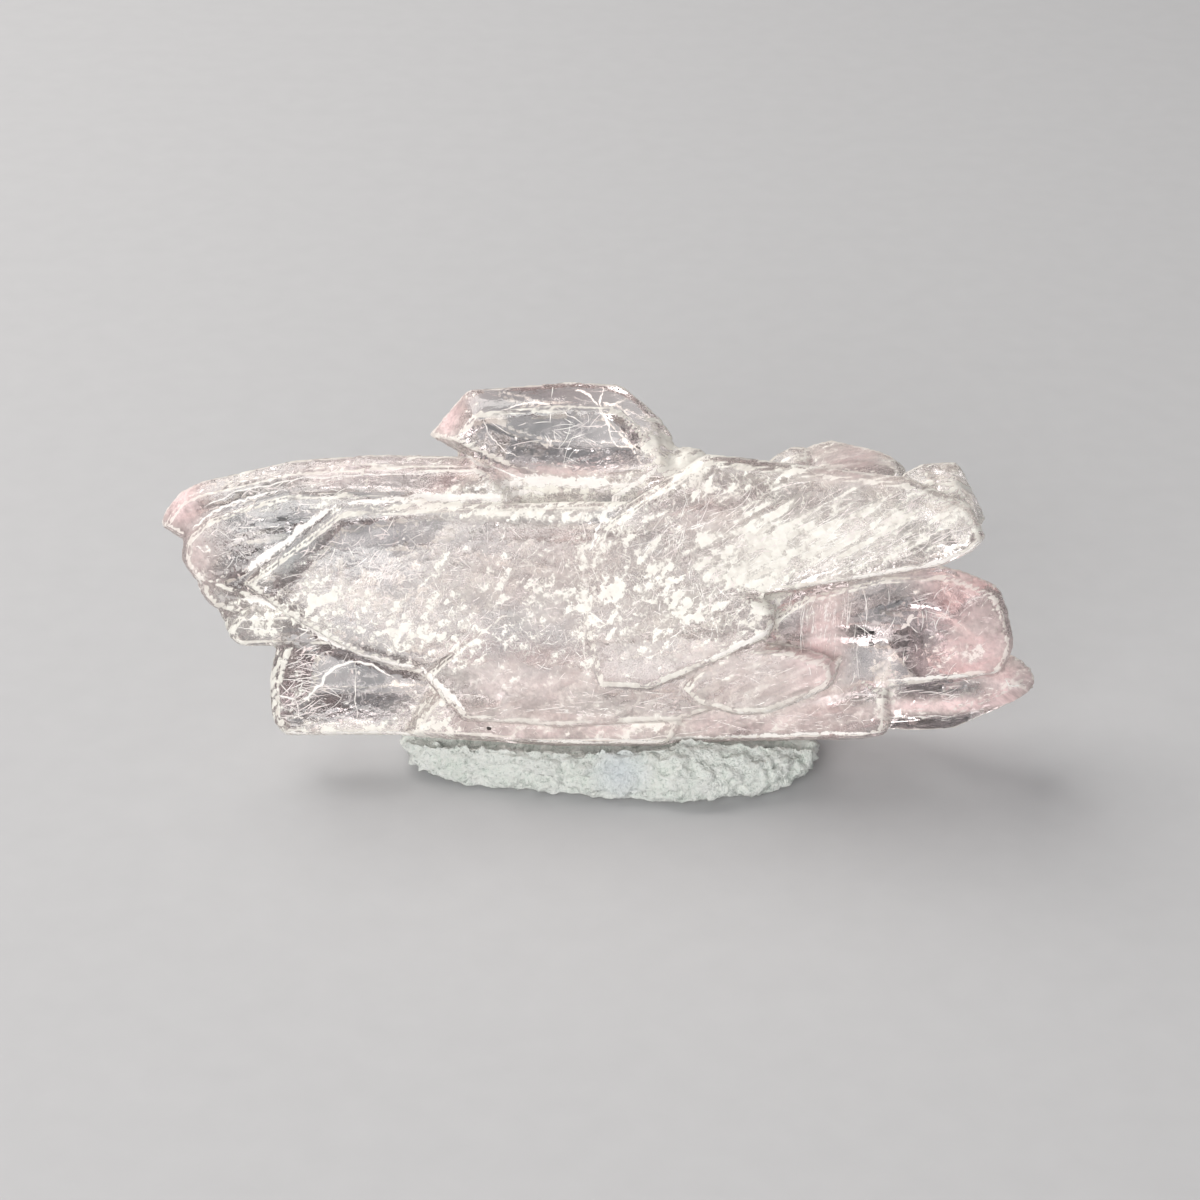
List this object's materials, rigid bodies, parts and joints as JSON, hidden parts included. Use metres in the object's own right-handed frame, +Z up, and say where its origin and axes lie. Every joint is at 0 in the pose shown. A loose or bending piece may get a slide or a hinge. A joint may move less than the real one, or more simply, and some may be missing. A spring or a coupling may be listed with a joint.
{
  "type": "rose quartz cluster",
  "caption": "Flat cluster of intergrown pale pink and clear quartz crystals, standing upright in a pressed roll of mineral putty.",
  "frame": {"origin": "middle of the putty's flat underside, on the surface that the specimen stands on", "axes": "+X along the cluster's length, +Z up, -Y towards the viewer of its broad front"},
  "size_m": [0.0442, 0.0116, 0.0195],
  "materials": {
    "rose_quartz": "natural crystal faces, clear to frosted, pale pink",
    "mineral_putty": "matt, finely pitted"
  },
  "bodies": {
    "root": {"quartz_cluster": "rose_quartz", "putty_base": "mineral_putty"}
  },
  "joints": []
}
